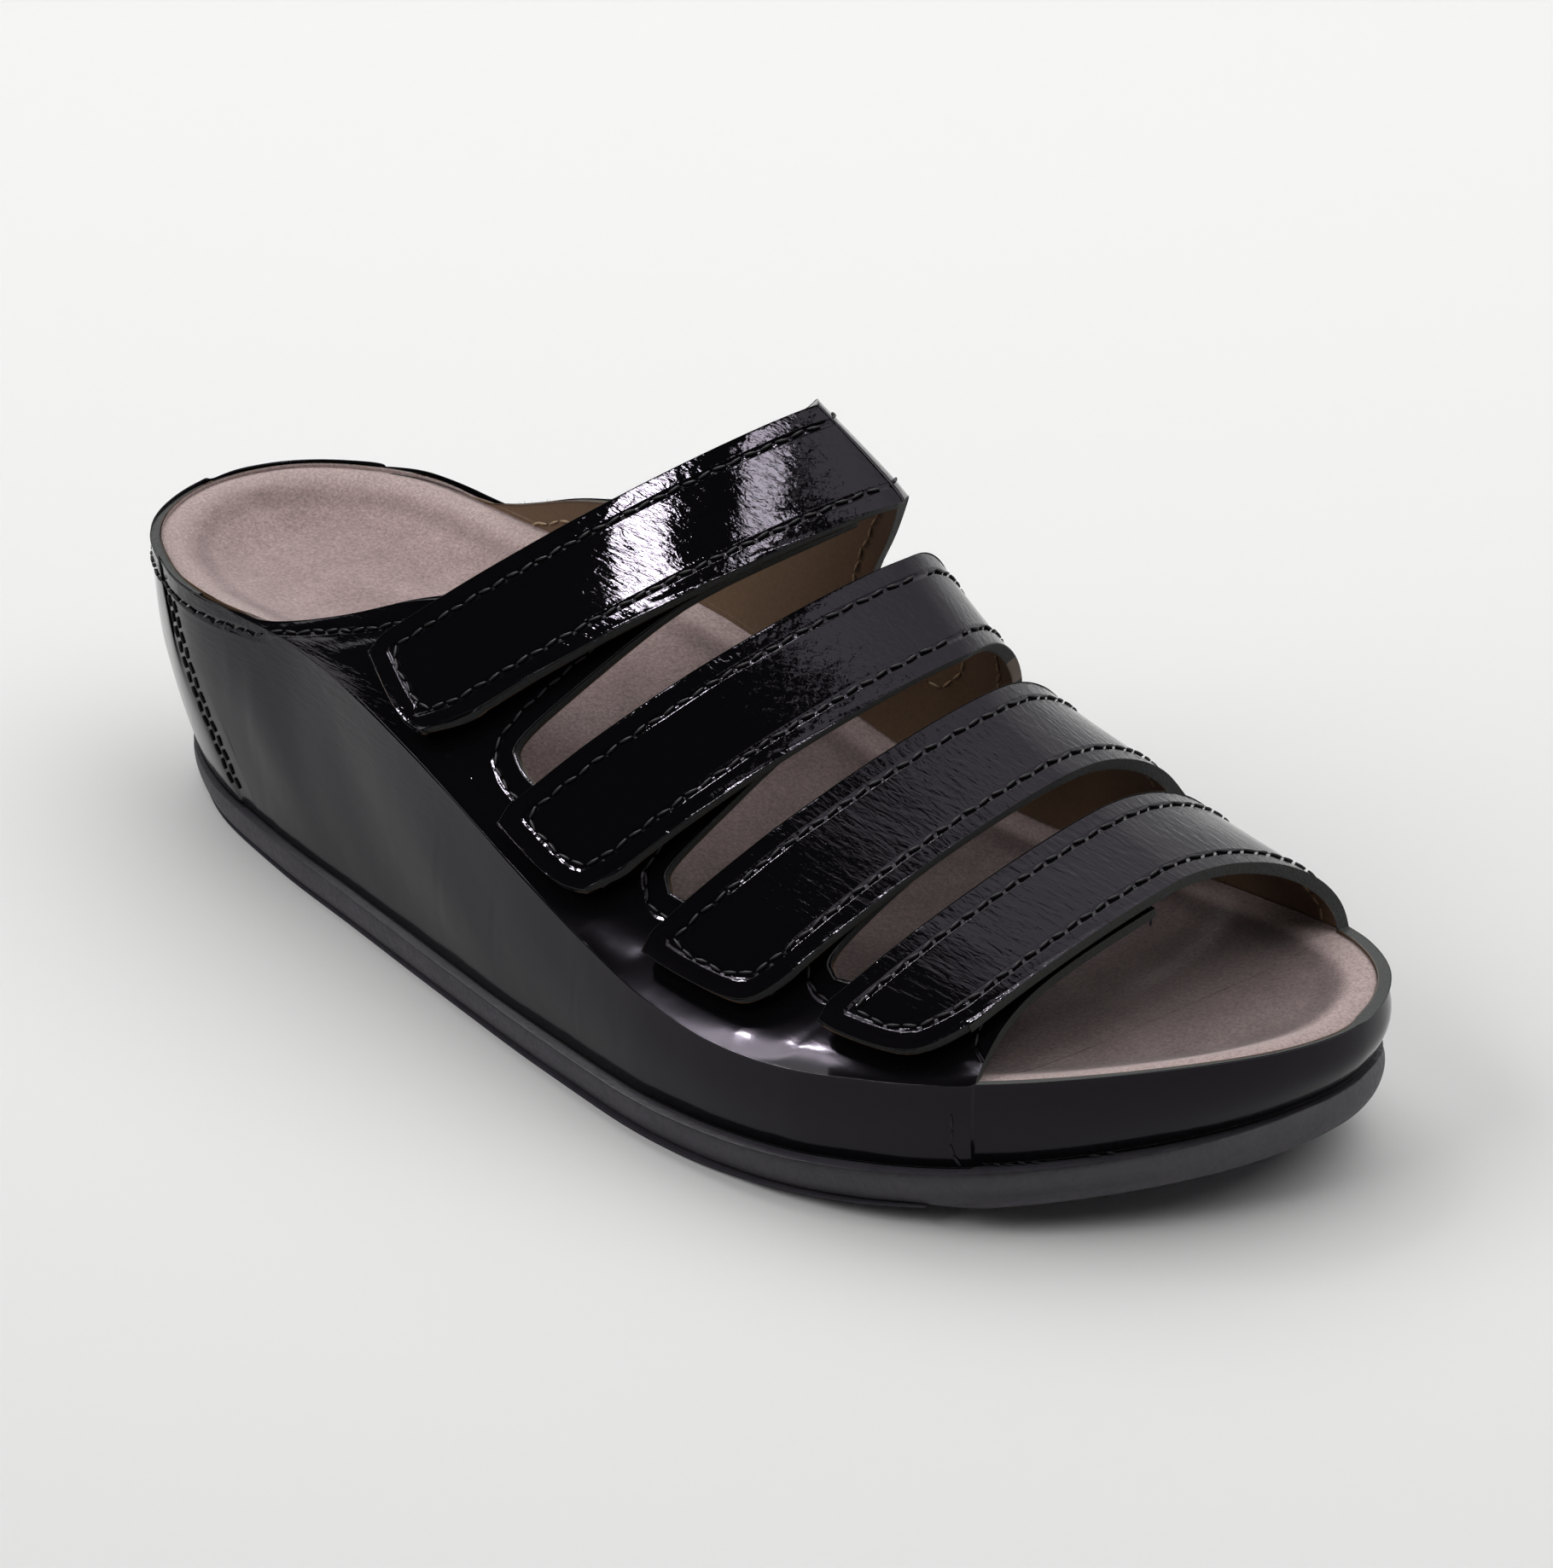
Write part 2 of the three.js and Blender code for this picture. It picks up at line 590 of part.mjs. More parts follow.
// The upper: wall, quarters, tabs and straps as one hollow shell
function upperGeometry() {
  const spots = columns.map(columnSpots);
  const outside = joinEnds(spots.map((list) => list.map((s) => offsetPoint(s, s.outside))));
  const inside = joinEnds(spots.map((list) => list.map((s) => offsetPoint(s, s.inside))));
  const ends = [0, columns.length - 1];
  return shellGeometry(
    outside,
    inside,
    (i, j) => isLeather(columns[i], j),
    (i) => ends.includes(i),
  );
}

// Top of the footbed inside its edge: a cup at the heel that runs out into a slight hollow
function bedDip(point, share, width) {
  const fromSide = Math.min(share, 1 - share) * width;
  const fromEnd = Math.min(point.x, soleLength - point.x);
  const sideRun = smooth(fromSide / (0.2 * ballWidth));
  const endRun = smooth(fromEnd / (0.16 * ballWidth));
  const inCup = smooth((cupEnd * soleLength - point.x) / (0.2 * soleLength));
  return lerp(bedHollow, heelCupDepth, inCup) * sideRun * endRun;
}

// The footbed: a wedge from the outsole to the foot, set inside the upper's wall
function footbedGeometry() {
  const rim = (side, column, level) => {
    const station = side === 'lateral' ? column.station + leadOf(column) : column.station;
    return offsetPoint({ side, station, level }, insideOf(column) - gap);
  };
  const outside = columns.map((column) => {
    const isEnd = column.station === 0 || column.station === sections.length - 1;
    const lateral = wallSteps.map((level) => rim('lateral', column, level));
    const medial = isEnd
      ? lateral.map((point) => point.clone())
      : wallSteps.map((level) => rim('medial', column, level));
    const left = lateral[lateral.length - 1];
    const right = medial[medial.length - 1];
    const top = bedSteps.slice(1, -1).map((share) => {
      const point = left.clone().lerp(right, share);
      point.z -= bedDip(point, share, left.distanceTo(right));
      return point;
    });
    const bottom = bedSteps.slice(1, -1).reverse().map((share) => {
      const point = lateral[0].clone().lerp(medial[0], share);
      point.z = soleTopHeight(point.x) + gap;
      return point;
    });
    return [...lateral, ...top, ...medial.reverse(), ...bottom, lateral[0]];
  });
  return tubeGeometry(outside);
}

// Closes a row of rings whose first and last rings fold flat
function tubeGeometry(rings) {
  const triangles = [];
  for (let i = 0; i < rings.length - 1; i += 1) {
    for (let j = 0; j < rings[0].length - 1; j += 1) {
      const [a, b] = [rings[i][j], rings[i + 1][j]];
      const [c, d] = [rings[i + 1][j + 1], rings[i][j + 1]];
      triangles.push([a, b, c], [a, c, d]);
    }
  }
  return closedGeometry(triangles);
}

// The outsole: the outline swept down its side profile
function outsoleGeometry() {
  const count = 44;
  const acrossSteps = [0.33, 0.67];
  const rings = [];
  for (let index = 0; index <= count; index += 1) {
    const along = (1 - Math.cos((Math.PI * index) / count)) / 2;
    const isEnd = index === 0 || index === count;
    const edge = (side) => soleProfile.map((step) => {
      const { point, outward } = outlineAt(side, placeOf(side, along));
      const out = (step.bulge - 1) * soleBulge - step.tuck * soleTuck;
      const z = groundHeight(point.x) + step.height * soleThickness;
      return new THREE.Vector3(point.x, point.y, z).addScaledVector(outward, out);
    });
    const lateral = edge('lateral');
    const medial = isEnd ? lateral.map((point) => point.clone()) : edge('medial');
    const across = (start, end) => acrossSteps.map((share) => start.clone().lerp(end, share));
    const top = across(lateral[lateral.length - 1], medial[medial.length - 1]);
    const bottom = across(medial[0], lateral[0]);
    rings.push([...lateral, ...top, ...medial.reverse(), ...bottom, lateral[0]]);
  }
  return tubeGeometry(rings);
}

// A tape between a strap and its tab. It follows the last at the given distances from it.
function tapeGeometry(strapRow, inner) {
  const strap = freeEnds[(strapRow - rowNamed('strap 1 rear')) / 2];
  const middle = strapRow + 0.5;
  const startAngle = Math.max(strap.rear, strap.front);
  const start = startAngle + degreesFor(tapeStart, middle, startAngle);
  const width = lastPoint(strapRow, start).distanceTo(lastPoint(strapRow + 1, start));
  const inset = tapeInset / width;
  const lattice = (distance) => tapeSteps.map((across) => {
    const station = strapRow + lerp(inset, 1 - inset, across);
    const angles = strapSteps.map((share) => lerp(start, tapeEndAngle, share));
    return angles.map((angle) => {
      const spot = { side: 'lateral', station, angle };
      return offsetPoint(spot, distance - sinkAt(angle));
    });
  });
  return shellGeometry(
    lattice(inner + tapeThickness),
    lattice(inner),
    () => true,
    () => false,
  );
}

// Finishes of the pieces
const patentBlack = { color: 0x0c0b0d, roughness: 0.12, metalness: 0 };
const suedeTaupe = { color: 0x9c8781, roughness: 0.95, metalness: 0 };
const rubberBlack = { color: 0x17161a, roughness: 0.6, metalness: 0 };
const tapeBlack = { color: 0x111114, roughness: 0.95, metalness: 0 };

const shoe = new THREE.Group();

function addPiece(name, geometry, finish) {
  const mesh = new THREE.Mesh(geometry, new THREE.MeshStandardMaterial(finish));
  mesh.name = name;
  shoe.add(mesh);
}

addPiece('outsole', outsoleGeometry(), rubberBlack);
addPiece('footbed', footbedGeometry(), suedeTaupe);
addPiece('upper', upperGeometry(), patentBlack);
freeEnds.forEach((_, index) => {
  const strapRow = rowNamed('strap 1 rear') + 2 * index;
  addPiece(`loop_pad_${index + 1}`, tapeGeometry(strapRow, gap), tapeBlack);
  addPiece(`hook_pad_${index + 1}`, tapeGeometry(strapRow, 2 * gap + tapeThickness), tapeBlack);
});

// The origin is on the floor, under the middle of the shoe
const bounds = new THREE.Box3().setFromObject(shoe);
const centre = bounds.getCenter(new THREE.Vector3());
shoe.position.set(-centre.x, -centre.y, -bounds.min.z);
shoe.updateMatrixWorld(true);

export default shoe;
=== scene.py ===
import heapq
import math

import bmesh
import bpy
import numpy as np
from mathutils import Matrix, Vector
from mathutils.bvhtree import BVHTree
from mathutils.kdtree import KDTree


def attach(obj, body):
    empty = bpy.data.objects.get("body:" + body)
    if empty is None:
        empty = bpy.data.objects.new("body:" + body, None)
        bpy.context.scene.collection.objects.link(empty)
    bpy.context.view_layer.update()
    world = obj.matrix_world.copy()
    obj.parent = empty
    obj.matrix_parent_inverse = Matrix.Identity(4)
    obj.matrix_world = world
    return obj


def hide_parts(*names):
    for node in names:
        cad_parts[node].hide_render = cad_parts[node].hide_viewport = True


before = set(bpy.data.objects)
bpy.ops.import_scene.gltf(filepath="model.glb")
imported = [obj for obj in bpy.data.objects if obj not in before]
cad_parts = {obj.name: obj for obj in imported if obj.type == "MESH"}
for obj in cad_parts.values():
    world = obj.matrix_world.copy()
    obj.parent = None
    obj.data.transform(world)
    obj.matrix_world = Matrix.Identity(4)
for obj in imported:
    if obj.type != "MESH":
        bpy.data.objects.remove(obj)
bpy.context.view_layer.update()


# Outsole: one moulded unit of black rubber, cemented under the wedge and the folded leather.
# Its side edge bulges, and the mould leaves its skin dull and faintly pebbled.
MM = 0.001
SAME_POINT = 0.01 * MM
FACE_ANGLE, SHAPE_ANGLE, CUT_ANGLE = math.radians(40), math.radians(50), math.radians(40)
OUTSOLE_ROUNDING = 0.5 * MM
PEBBLE, LUMP = 1.1 * MM, 6 * MM
PEBBLE_HEIGHT = 0.35 * MM


def merged_copy(node, name):
    """A new piece from a CAD node, with its loose triangles merged into quads."""
    piece = bpy.data.objects.new(name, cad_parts[node].data.copy())
    bpy.context.collection.objects.link(piece)
    piece.data.materials.clear()
    bpy.ops.object.select_all(action="DESELECT")
    piece.select_set(True)
    bpy.context.view_layer.objects.active = piece
    bpy.ops.object.mode_set(mode="EDIT")
    bpy.ops.mesh.select_all(action="SELECT")
    bpy.ops.mesh.remove_doubles(threshold=SAME_POINT)
    bpy.ops.mesh.tris_convert_to_quads(face_threshold=FACE_ANGLE, shape_threshold=SHAPE_ANGLE)
    bpy.ops.object.mode_set(mode="OBJECT")
    return piece


def points_of(mesh):
    """The mesh's vertices as an array."""
    flat = np.empty(len(mesh.vertices) * 3, np.float32)
    mesh.vertices.foreach_get("co", flat)
    return flat.reshape(-1, 3).astype(float)


def set_points(mesh, points):
    """Moves the mesh's vertices to the given places."""
    mesh.vertices.foreach_set("co", points.astype(np.float32).ravel())
    mesh.update()


def soften(piece, rounding, segments, levels):
    """Rounds the piece's cut edges and turns its flat faces into one smooth skin."""
    bpy.ops.object.select_all(action="DESELECT")
    piece.select_set(True)
    bpy.context.view_layer.objects.active = piece
    bevel = piece.modifiers.new("edges", "BEVEL")
    bevel.width = rounding
    bevel.segments = segments
    bevel.limit_method = "ANGLE"
    bevel.angle_limit = CUT_ANGLE
    bpy.ops.object.modifier_apply(modifier=bevel.name)
    skin = piece.modifiers.new("skin", "SUBSURF")
    skin.levels = 1
    # The corners move out until the smooth skin passes through where they were
    goal = points_of(piece.data)
    corners = goal.copy()
    for _ in range(3):
        graph = bpy.context.evaluated_depsgraph_get()
        smoothed = piece.evaluated_get(graph)
        corners += goal - points_of(smoothed.to_mesh())[:len(goal)]
        smoothed.to_mesh_clear()
        set_points(piece.data, corners)
    skin.levels = levels
    skin.render_levels = levels
    bpy.ops.object.modifier_apply(modifier=skin.name)
    bpy.ops.object.shade_smooth()


def fit_out(piece, slot, *nodes):
    """The piece rides on the shoe and stands for its CAD nodes, which are hidden."""
    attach(piece, "root")
    if nodes:
        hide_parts(*nodes)


def linear(code):
    """Linear colour of an sRGB hex value."""
    shares = [int(code[i:i + 2], 16) / 255 for i in (0, 2, 4)]
    return tuple(
        s / 12.92 if s <= 0.04045 else ((s + 0.055) / 1.055) ** 2.4 for s in shares
    ) + (1,)


def new_material(name):
    """An empty material and its node tree."""
    material = bpy.data.materials.new(name)
    material.use_nodes = True
    material.node_tree.nodes.clear()
    return material, material.node_tree


def add(tree, kind, values=None, links=None, **settings):
    """Adds one node with its settings, its socket values and its links."""
    node = tree.nodes.new(kind)
    for key, value in settings.items():
        setattr(node, key, value)
    for key, value in (values or {}).items():
        node.inputs[key].default_value = value
    for key, source in (links or {}).items():
        tree.links.new(source, node.inputs[key])
    return node


# Vulcanised rubber, moulded: dull black, with a pebbled skin that scatters a soft light
rubber, tree = new_material("moulded_rubber")
place = add(tree, "ShaderNodeTexCoord")
pebble = add(
    tree, "ShaderNodeTexNoise",
    {"Scale": 1 / PEBBLE, "Detail": 3, "Roughness": 0.6},
    {"Vector": place.outputs["Object"]},
)
lumps = add(
    tree, "ShaderNodeTexNoise",
    {"Scale": 1 / LUMP, "Detail": 2, "Roughness": 0.5},
    {"Vector": place.outputs["Object"]},
)
relief = add(tree, "ShaderNodeMath", {1: 0.6}, {0: lumps.outputs["Fac"]}, operation="MULTIPLY")
relief = add(tree, "ShaderNodeMath", {}, {0: relief.outputs[0], 1: pebble.outputs["Fac"]})
skin_bump = add(
    tree, "ShaderNodeBump", {"Strength": 0.55, "Distance": PEBBLE_HEIGHT},
    {"Height": relief.outputs[0]},
)
shade = add(
    tree, "ShaderNodeMix", {6: linear("323036"), 7: linear("434047")},
    {0: lumps.outputs["Fac"]}, data_type="RGBA",
)
dull = add(
    tree, "ShaderNodeMapRange", {"From Min": 0.3, "From Max": 0.7, "To Min": 0.5, "To Max": 0.68},
    {"Value": pebble.outputs["Fac"]},
)
shader = add(
    tree, "ShaderNodeBsdfPrincipled", {"IOR": 1.52},
    {"Base Color": shade.outputs[2], "Roughness": dull.outputs[0], "Normal": skin_bump.outputs[0]},
)
add(tree, "ShaderNodeOutputMaterial", links={"Surface": shader.outputs[0]})

outsole = merged_copy("outsole", "outsole_unit")
soften(outsole, OUTSOLE_ROUNDING, 2, 2)
outsole.data.materials.append(rubber)
fit_out(outsole, "outsole", "outsole")


# Footbed: a moulded foam wedge covered in taupe suede, which is wrapped over its edge and
# pressed down inside it, so that a paler rolled rim runs round the foot.
COVER_ROUNDING = 0.9 * MM
RIM_WIDTH, RIM_RISE, RIM_BLEND = 5 * MM, 0.5 * MM, 1.6 * MM
RIM_SLOPE, LOWEST_RIM = 0.35, 15 * MM
# The last width is that of the painted shade along the groove
GROOVE_PLACE, GROOVE_DEPTH, GROOVE_SHADE_WIDTH = 8 * MM, 0.8 * MM, 3 * MM
FOOT_START, FOOT_END, BEYOND = -85 * MM, 94 * MM, 90 * MM
EVENING_ROUNDS = 12
# Painted light and shade along the footbed: lighter at the heel, darker towards the toes
SHADE_FROM, SHADE_TO = -90 * MM, 50 * MM


def normals_of(mesh):
    """The directions of the mesh's vertices as an array."""
    flat = np.empty(len(mesh.vertices) * 3, np.float32)
    mesh.vertex_normals.foreach_get("vector", flat)
    return flat.reshape(-1, 3).astype(float)


def write_field(mesh, name, values):
    """Keeps one number for each vertex, for the materials to read."""
    field = mesh.attributes.new(name, "FLOAT", "POINT")
    field.data.foreach_set("value", values.astype(np.float32))


footbed = merged_copy("footbed", "footbed_cover")
soften(footbed, COVER_ROUNDING, 3, 2)
mesh = footbed.data
points = points_of(mesh)
normals = normals_of(mesh)
# The rim is where the top turns down into the side, with nothing of the footbed further out
edges = np.array([edge.vertices[:] for edge in mesh.edges])
cover_faces = [tuple(f.vertices) for f in mesh.polygons]
skin = BVHTree.FromPolygons([Vector(p) for p in points], cover_faces)
slopes = normals[edges, 2] - RIM_SLOPE
turns = (slopes[:, 0] * slopes[:, 1] < 0) & (points[edges[:, 0], 2] > LOWEST_RIM)
rim = KDTree(len(edges))
for index in np.flatnonzero(turns):
    point = points[edges[index]].mean(axis=0)
    normal = Vector(normals[edges[index]].mean(axis=0)).normalized()
    middle = min(max(point[0], FOOT_START), FOOT_END)
    outward = Vector((point[0] - middle, point[1], 0)).normalized()
    if outward.dot(normal) > 0.2:
        if skin.ray_cast(Vector(point) + normal * 0.5 * MM, outward, BEYOND)[0] is None:
            rim.insert(point, index)
rim.balance()
from_rim = np.array([rim.find(point)[2] for point in points])
upward = np.clip((normals[:, 2] - 0.6) / 0.3, 0, 1)
lift = RIM_RISE * np.exp(-((from_rim - 0.45 * RIM_WIDTH) / (0.5 * RIM_WIDTH)) ** 2)
lift -= GROOVE_DEPTH * np.exp(-((from_rim - GROOVE_PLACE) / (0.5 * RIM_WIDTH)) ** 2)
lift *= upward
# The wrapped suede bridges small steps, so the lift is evened out from corner to corner
met = 1 + np.bincount(edges.ravel(), minlength=len(points))
for _ in range(EVENING_ROUNDS):
    total = lift.copy()
    np.add.at(total, edges[:, 0], lift[edges[:, 1]])
    np.add.at(total, edges[:, 1], lift[edges[:, 0]])
    lift = total / met
points[:, 2] += lift
set_points(mesh, points)
write_field(mesh, "from_rim", from_rim / MM)

# Goat suede, buffed: matt, with a short nap that lies in cloudy patches of lighter and darker
suede, tree = new_material("taupe_suede")
place = add(tree, "ShaderNodeTexCoord")
nap = add(
    tree, "ShaderNodeTexNoise", {"Scale": 1 / (0.9 * MM), "Detail": 4, "Roughness": 0.7},
    {"Vector": place.outputs["Object"]},
)
clouds = add(
    tree, "ShaderNodeTexNoise", {"Scale": 1 / (14 * MM), "Detail": 5, "Roughness": 0.62},
    {"Vector": place.outputs["Object"]},
)
cloud_mask = add(
    tree, "ShaderNodeMapRange", {"From Min": 0.35, "From Max": 0.65},
    {"Value": clouds.outputs["Fac"]},
)
cloud_shade = add(
    tree, "ShaderNodeMix", {6: linear("8b7775"), 7: linear("9f8a88")},
    {0: cloud_mask.outputs[0]}, data_type="RGBA",
)
nap_mask = add(
    tree, "ShaderNodeMapRange",
    {"From Min": 0.35, "From Max": 0.7, "To Min": 0.82, "To Max": 1.12},
    {"Value": nap.outputs["Fac"]},
)
# Painted light and shade: the suede is painted lighter at the heel and darker towards the toes,
# where the straps shade it
along = add(tree, "ShaderNodeSeparateXYZ", links={"Vector": place.outputs["Object"]})
heel_to_toe_shade = add(
    tree, "ShaderNodeMapRange",
    {"From Min": SHADE_FROM, "From Max": SHADE_TO, "To Min": 1.22, "To Max": 0.58},
    {"Value": along.outputs["X"]},
)
napped = add(
    tree, "ShaderNodeVectorMath", {}, {0: cloud_shade.outputs[2], 1: nap_mask.outputs[0]},
    operation="MULTIPLY",
)
napped = add(
    tree, "ShaderNodeVectorMath", {}, {0: napped.outputs[0], 1: heel_to_toe_shade.outputs[0]},
    operation="MULTIPLY",
)
rim_read = add(tree, "ShaderNodeAttribute", attribute_name="from_rim")
rim_mask = add(
    tree, "ShaderNodeMapRange",
    {"From Min": (RIM_WIDTH + RIM_BLEND) / MM, "From Max": (RIM_WIDTH - RIM_BLEND) / MM},
    {"Value": rim_read.outputs["Fac"]}, interpolation_type="SMOOTHSTEP",
)
rim_shade = add(
    tree, "ShaderNodeMix", {7: linear("b29e9b")},
    {0: rim_mask.outputs[0], 6: napped.outputs[0]}, data_type="RGBA",
)
# Tips of the nap that took less dye or more, as dark and pale specks
tips = add(
    tree, "ShaderNodeTexNoise", {"Scale": 1 / (0.55 * MM), "Detail": 2, "Roughness": 0.8},
    {"Vector": place.outputs["Object"]},
)
specks = add(
    tree, "ShaderNodeMapRange",
    {"From Min": 0.33, "From Max": 0.67, "To Min": 0.72, "To Max": 1.22},
    {"Value": tips.outputs["Fac"]},
)
# Inside the rolled rim the suede is pressed down into a groove, and painted shade darkens it there
groove_shade = add(
    tree, "ShaderNodeMath", {1: GROOVE_PLACE / MM}, {0: rim_read.outputs["Fac"]},
    operation="SUBTRACT",
)
groove_shade = add(tree, "ShaderNodeMath", {}, {0: groove_shade.outputs[0]}, operation="ABSOLUTE")
groove_shade = add(
    tree, "ShaderNodeMapRange",
    {"From Min": 0, "From Max": GROOVE_SHADE_WIDTH / MM, "To Min": 0.8, "To Max": 1},
    {"Value": groove_shade.outputs[0]}, interpolation_type="SMOOTHSTEP",
)
groove_shaded = add(
    tree, "ShaderNodeVectorMath", {}, {0: rim_shade.outputs[2], 1: groove_shade.outputs[0]},
    operation="MULTIPLY",
)
speckled = add(
    tree, "ShaderNodeVectorMath", {}, {0: groove_shaded.outputs[0], 1: specks.outputs[0]},
    operation="MULTIPLY",
)
nap_bump = add(
    tree, "ShaderNodeBump", {"Strength": 0.6, "Distance": 0.35 * MM},
    {"Height": nap.outputs["Fac"]},
)
shader = add(
    tree, "ShaderNodeBsdfPrincipled",
    {"Roughness": 0.95, "Sheen Weight": 0.25, "Sheen Roughness": 0.5, "Specular IOR Level": 0.2},
    {"Base Color": speckled.outputs[0], "Normal": nap_bump.outputs[0]},
)
add(tree, "ShaderNodeOutputMaterial", links={"Surface": shader.outputs[0]})
footbed.data.materials.append(suede)
fit_out(footbed, "footbed", "footbed")


# Upper: black patent leather with a thin brown leather lining, cut, folded round the wedge
# and cemented under it. The straps' edges are cut raw, so the leather's own fibre shows.
WALL, LEATHER_ROUNDING = 2 * MM, 0.4 * MM
CORE_HEIGHT = 25 * MM
PATENT, LINING, RAW_EDGE = 0, 1, 2
# Where the quarters end over the toe strip, and how high the strip reaches
TOE_SEAM_LATERAL, TOE_SEAM_MEDIAL = Vector((95.2, -34, 0)) * MM, Vector((110.6, 44, 0)) * MM
TOE_STRIP_TOP = 36 * MM
# Edges without a row of stitches: the fold under the wedge, below one height at the heel and
# another at the toe, and the steps of the seams, behind and ahead of these places
HEEL_FOLD, TOE_FOLD, FOLD_CHANGE = 12 * MM, 19 * MM, 60 * MM
HEEL_SEAM, HEEL_SEAM_TOP = -84 * MM, 44 * MM
TOE_SEAM, TOE_SEAM_TOP = 85 * MM, 26 * MM
# How far from its edge the row of stitches lies, and how far the distance is measured
SEAM_PLACE, REACH = 3.7 * MM, 9 * MM
# The folded corner over the toe strip, where the row runs off the edge
CORNER_START, CORNER_LENGTH = 70 * MM, 6 * MM
CORNER_TOP, CORNER_HEIGHT = 31 * MM, 4 * MM
# Wear wrinkles, and where they grow: up over the straps, and on towards the toe
WRINKLE_LENGTH, WRINKLE_WIDTH = 6 * MM, 0.9 * MM
STRAPS_FROM, STRAPS_RISE = 30 * MM, 20 * MM
TOE_CREASED_FROM, TOE_CREASED_RISE = 30 * MM, 25 * MM


def sort_leather(piece):
    """Gives each face of the shell its layer: patent outside, lining inside, or raw edge."""
    mesh = piece.data
    shape = bmesh.new()
    shape.from_mesh(mesh)
    tree = BVHTree.FromBMesh(shape)
    shape.free()
    for face in mesh.polygons:
        core = Vector((min(max(face.center.x, FOOT_START), FOOT_END), 0, CORE_HEIGHT))
        start = face.center - face.normal * 0.05 * MM
        _, _, _, depth = tree.ray_cast(start, -face.normal, 10 * WALL)
        if depth is None or depth > 2 * WALL:
            face.material_index = RAW_EDGE
        elif face.normal.dot(face.center - core) < 0:
            face.material_index = LINING
        else:
            face.material_index = PATENT


upper = merged_copy("upper", "upper_leather")
for _ in (PATENT, LINING, RAW_EDGE):
    upper.data.materials.append(None)
sort_leather(upper)
soften(upper, LEATHER_ROUNDING, 2, 2)


def layer_faces(mesh, layer):
    """The faces of one layer, each a tuple of its vertices."""
    return [tuple(f.vertices) for f in mesh.polygons if f.material_index == layer]


def is_toe_strip(point):
    """Whether a point of the wall is ahead of the seams where the quarters end."""
    across = TOE_SEAM_MEDIAL - TOE_SEAM_LATERAL
    from_seam = point - TOE_SEAM_LATERAL
    return across.x * from_seam.y - across.y * from_seam.x < 0 and point.z < TOE_STRIP_TOP


def distance_field(points, faces, limit, keep):
    """Distance along one layer of leather from its cut edges, for each vertex."""
    sides = {}
    near = {}
    for face in faces:
        for a, b in zip(face, face[1:] + face[:1]):
            key = (min(a, b), max(a, b))
            sides[key] = sides.get(key, 0) + 1
        for a in face:
            near.setdefault(a, set()).update(face)
    edges = [key for key, count in sides.items() if count == 1]
    edges = [(a, b) for a, b in edges if keep(Vector((points[a] + points[b]) / 2))]
    edges_at = {}
    for index, (a, b) in enumerate(edges):
        edges_at.setdefault(a, []).append(index)
        edges_at.setdefault(b, []).append(index)

    place = [Vector(point) for point in points]
    start = [place[a] for a, b in edges]
    run = [place[b] - place[a] for a, b in edges]
    squared = [max(r.length_squared, 1e-18) for r in run]

    def measure(vertex, index):
        """How far a vertex lies from a cut edge."""
        offset = place[vertex] - start[index]
        share = min(max(offset.dot(run[index]) / squared[index], 0), 1)
        return (offset - run[index] * share).length

    field = np.full(len(points), limit)
    heap = []
    for vertex, found in edges_at.items():
        field[vertex] = 0
        heapq.heappush(heap, (0.0, vertex, found[0]))
    reach = {}
    while heap:
        distance, vertex, source = heapq.heappop(heap)
        if distance > field[vertex]:
            continue
        if source not in reach:
            reach[source] = {i for vertex_of in edges[source] for i in edges_at[vertex_of]}
        for other in near[vertex]:
            best, nearest = min((measure(other, index), index) for index in reach[source])
            if best < field[other] - 1e-7:
                field[other] = best
                heapq.heappush(heap, (best, other, nearest))
    return field


def contours(points, faces, field, value):
    """Chains of points along which a field over the faces has one value."""
    crossing, links = {}, {}
    for face in faces:
        found = []
        for a, b in zip(face, face[1:] + face[:1]):
            below, above = field[a] - value, field[b] - value
            if (below < 0) != (above < 0):
                key = (min(a, b), max(a, b))
                crossing[key] = points[a] + (points[b] - points[a]) * below / (below - above)
                found.append(key)
        if len(found) == 2:
            links.setdefault(found[0], []).append(found[1])
            links.setdefault(found[1], []).append(found[0])
    chains, used = [], set()
    starts = [key for key in links if len(links[key]) == 1] + list(links)
    for start in starts:
        if start in used:
            continue
        chain, key = [], start
        while key is not None:
            used.add(key)
            chain.append(crossing[key])
            key = next((other for other in links[key] if other not in used), None)
        if len(links[start]) == 2:
            chain.append(chain[0])
        chains.append(np.array(chain))
    return chains


# Creases from wear, each from a start to an end in mm, with its half width and its height:
# troughs across the straps where the foot bends, and slow waves down the wrapped wall
CREASES = (
    ((-22, -10, 76), (-6, -8, 78), 1.5, -0.22),
    ((-14, -2, 81), (2, -4, 79), 1.4, 0.2),
    ((-9, 6, 87), (6, 3, 83), 1.5, -0.2),
    ((-4, 12, 90), (9, 10, 88), 1.6, 0.18),
    ((10, -20, 60), (24, -17, 60), 1.6, -0.22),
    ((12, -12, 66), (28, -9, 64), 1.5, 0.2),
    ((18, -4, 70), (32, -2, 68), 1.6, -0.2),
    ((36, -30, 44), (50, -27, 44), 1.5, -0.2),
    ((38, -22, 49), (54, -18, 50), 1.4, 0.2),
    ((42, -12, 54), (58, -8, 54), 1.5, -0.18),
    ((66, -30, 37), (78, -27, 36), 1.4, -0.18),
    ((68, -20, 42), (82, -17, 41), 1.4, 0.18),
    ((-84, -31, 40), (-66, -34, 14), 6, 0.4),
    ((-62, -35, 46), (-36, -40, 14), 8, -0.45),
    ((-34, -40, 36), (-10, -44, 12), 7, 0.4),
    ((-70, 33, 40), (-52, 36, 14), 8, 0.4),
    ((-30, 38, 36), (-18, 40, 14), 8, -0.4),
)


